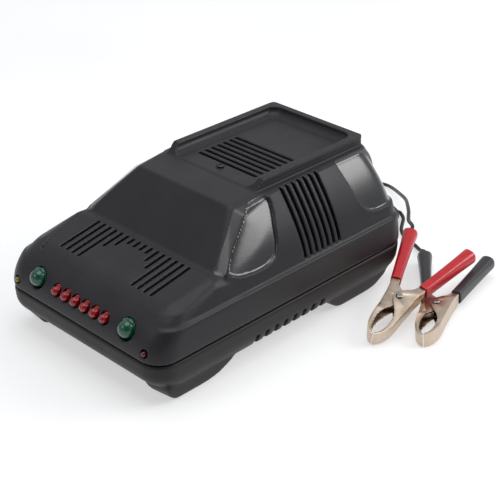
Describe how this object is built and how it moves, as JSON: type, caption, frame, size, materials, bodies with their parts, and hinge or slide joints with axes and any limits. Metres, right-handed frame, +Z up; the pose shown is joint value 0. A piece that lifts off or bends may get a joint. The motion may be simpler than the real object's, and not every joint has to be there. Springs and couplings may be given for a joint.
{
  "type": "car battery charger",
  "caption": "Small mains battery charger in a car-shaped plastic case, with indicator lamps on its sloping front, a tray on top and two sprung clamps on leads.",
  "frame": {"origin": "on the floor, under the middle of the box round the case and both clamps", "axes": "+Z up, -Y towards the lamps at the front, +X towards the clamps"},
  "size_m": [0.189, 0.288, 0.0887],
  "materials": {
    "case_top": "fine spark texture, glossy in the side windows",
    "case_base": "fine spark texture",
    "lamp_red": "clear moulded",
    "lamp_dark_red": "clear moulded",
    "lamp_green": "clear moulded",
    "lamp_yellow": "clear moulded",
    "circuit_board": "lacquered",
    "copper_wire": "enamelled",
    "core_iron": "varnished",
    "nylon": "natural",
    "zinc": "zinc plated",
    "fuse_glass": "clear",
    "component_black": "moulded",
    "lead_pvc": "smooth",
    "clamp_steel": "bright plated",
    "red_vinyl": "smooth dipped",
    "black_vinyl": "smooth dipped"
  },
  "bodies": {
    "case": {"top_cover": "case_top", "base_tub": "case_base", "tray_screw": "zinc", "base_screw_1": "zinc", "base_screw_2": "zinc", "base_screw_3": "zinc", "base_screw_4": "zinc", "lamp_yellow": "lamp_yellow", "lamp_green_left": "lamp_green", "lamp_red_1": "lamp_red", "lamp_red_2": "lamp_red", "lamp_red_3": "lamp_red", "lamp_red_4": "lamp_red", "lamp_red_5": "lamp_red", "lamp_red_6": "lamp_red", "lamp_green_right": "lamp_green", "lamp_dark_red": "lamp_dark_red", "lamp_board": "circuit_board", "main_board": "circuit_board", "heat_sink": "zinc", "rectifier_1": "component_black", "rectifier_2": "component_black", "capacitor": "component_black", "relay": "nylon", "fuse_holder": "zinc", "fuse": "fuse_glass", "transformer_core": "core_iron", "transformer_bobbin": "nylon", "transformer_winding": "copper_wire", "transformer_strap": "zinc", "strap_screw_1": "zinc", "strap_screw_2": "zinc", "red_jaw_fixed": "clamp_steel", "red_rivet": "zinc", "red_spring_fixed": "zinc", "red_sleeve_fixed": "red_vinyl", "black_jaw_fixed": "clamp_steel", "black_rivet": "zinc", "black_spring_fixed": "zinc", "black_sleeve_fixed": "black_vinyl", "lead_gland": "lead_pvc", "mains_grommet": "lead_pvc", "red_lead_inner": "lead_pvc", "red_lead_coil": "lead_pvc", "red_lead_outer": "lead_pvc", "black_lead_inner": "lead_pvc", "black_lead_coil": "lead_pvc", "black_lead_outer": "lead_pvc"},
    "red_clamp_half": {"red_jaw_moving": "clamp_steel", "red_sleeve_moving": "red_vinyl", "red_spring_moving": "zinc"},
    "black_clamp_half": {"black_jaw_moving": "clamp_steel", "black_sleeve_moving": "black_vinyl", "black_spring_moving": "zinc"}
  },
  "joints": [
    {"name": "red_clamp_squeeze", "type": "hinge", "parent": "case", "child": "red_clamp_half", "pos_m": [0.06224, 0.0415, 0.0113], "axis": [0.1643, -0.1463, 0.9755], "range_deg": [0, 22], "stiffness_Nm_per_rad": 0.5, "springref_deg": -17.19},
    {"name": "black_clamp_squeeze", "type": "hinge", "parent": "case", "child": "black_clamp_half", "pos_m": [0.07654, 0.0586, 0.00545], "axis": [-0.069, -0.0578, 0.9959], "range_deg": [0, 22], "stiffness_Nm_per_rad": 0.5, "springref_deg": -17.19}
  ]
}
